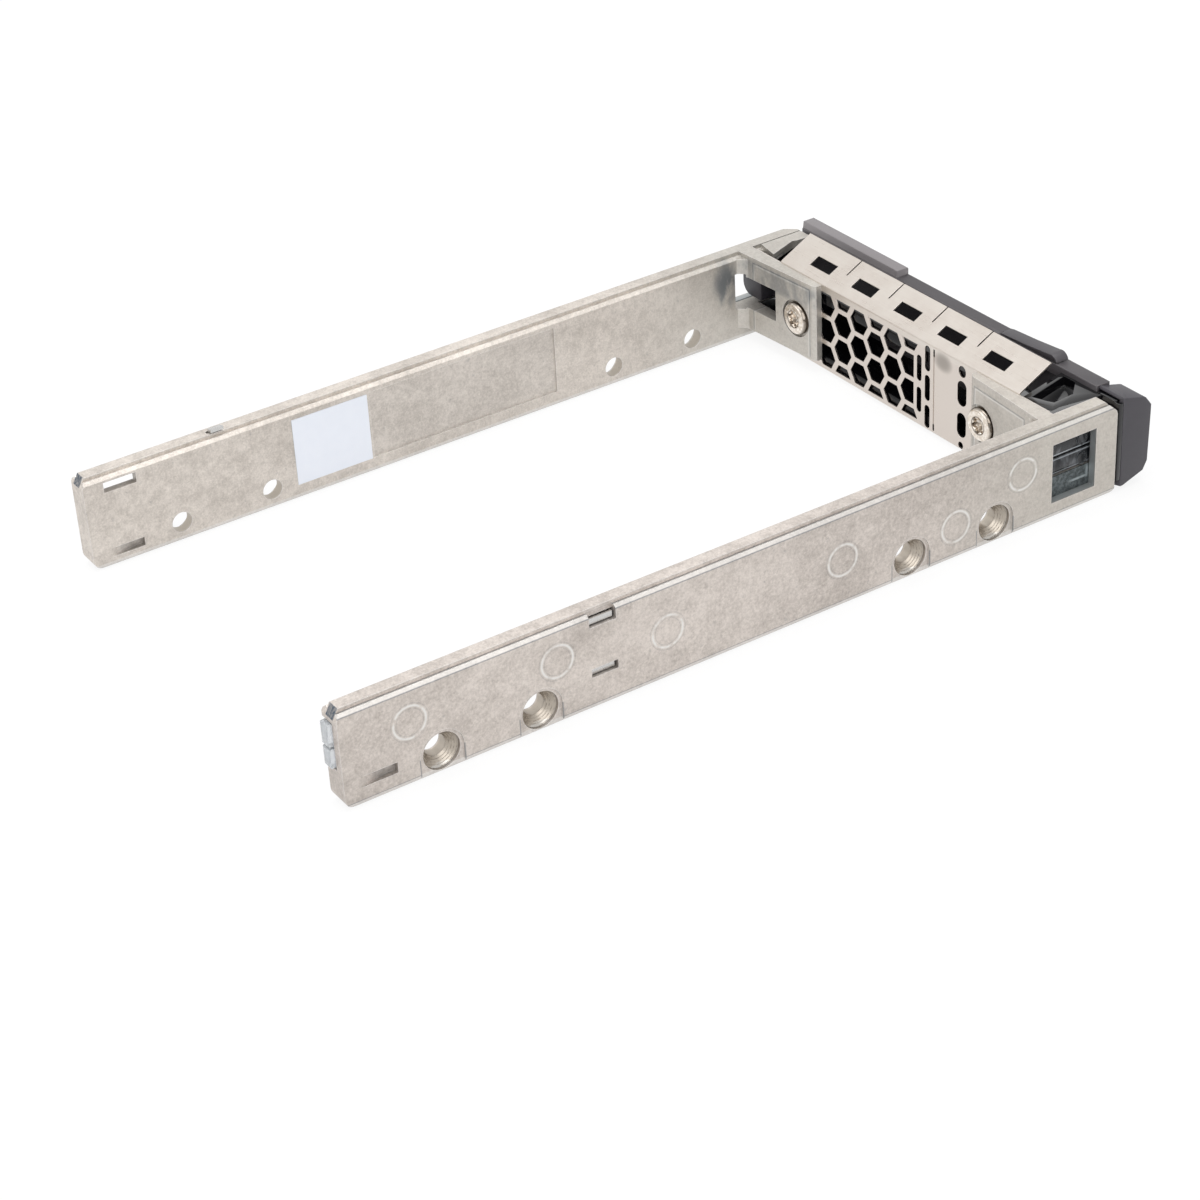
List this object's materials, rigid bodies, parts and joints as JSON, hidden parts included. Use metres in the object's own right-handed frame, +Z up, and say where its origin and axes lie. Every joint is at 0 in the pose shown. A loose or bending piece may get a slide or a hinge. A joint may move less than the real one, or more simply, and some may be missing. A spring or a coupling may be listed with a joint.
{
  "type": "hot swap drive caddy",
  "caption": "Drive caddy with die-cast side rails, a honeycomb shield with spring fingers, light pipes and a dark bezel with a hinged handle and latch.",
  "frame": {"origin": "bottom centre of the box around the closed caddy", "axes": "+Z up with the rails standing on their lower edges, +Y toward the open rear end, -Y toward the bezel, -X toward the rail with the light pipes"},
  "size_m": [0.0776, 0.1358, 0.0183],
  "materials": {
    "cast_zinc": "satin, as cast",
    "nickel_sheet": "satin nickel",
    "dark_plastic": "fine moulded texture",
    "gloss_plastic": "gloss",
    "grey_plastic": "satin",
    "nickel_screw": "bright nickel",
    "brass": "machined",
    "spring_steel": "bright",
    "clear_pipe": "clear moulded",
    "white_label": "satin"
  },
  "bodies": {
    "caddy": {"left_rail": "cast_zinc", "right_rail": "cast_zinc", "emi_shield": "nickel_sheet", "bezel_frame": "gloss_plastic", "bezel_plate": "grey_plastic", "lever_pin": "spring_steel", "lever_spring": "spring_steel", "latch_spring": "spring_steel", "led_end_cap": "grey_plastic", "light_pipe_upper": "clear_pipe", "light_pipe_lower": "clear_pipe", "pipe_holder": "gloss_plastic", "pipe_clip": "spring_steel", "left_tab_screw": "nickel_screw", "right_tab_screw": "nickel_screw", "left_screw_insert": "brass", "right_screw_insert": "brass", "serial_label": "white_label", "rail_spring": "spring_steel"},
    "lever": {"lever_handle": "dark_plastic"},
    "latch": {"release_latch": "dark_plastic"}
  },
  "joints": [
    {"name": "lever_hinge", "type": "hinge", "parent": "caddy", "child": "lever", "pos_m": [0.03215, -0.0643, 0.0083], "axis": [0, 0, 1], "range_deg": [0, 40]},
    {"name": "latch_slide", "type": "slide", "parent": "caddy", "child": "latch", "axis": [-1, 0, 0], "range_m": [0, 0.002], "stiffness_N_per_m": 250, "springref_m": -0.001, "deforming": ["latch_spring"]}
  ]
}
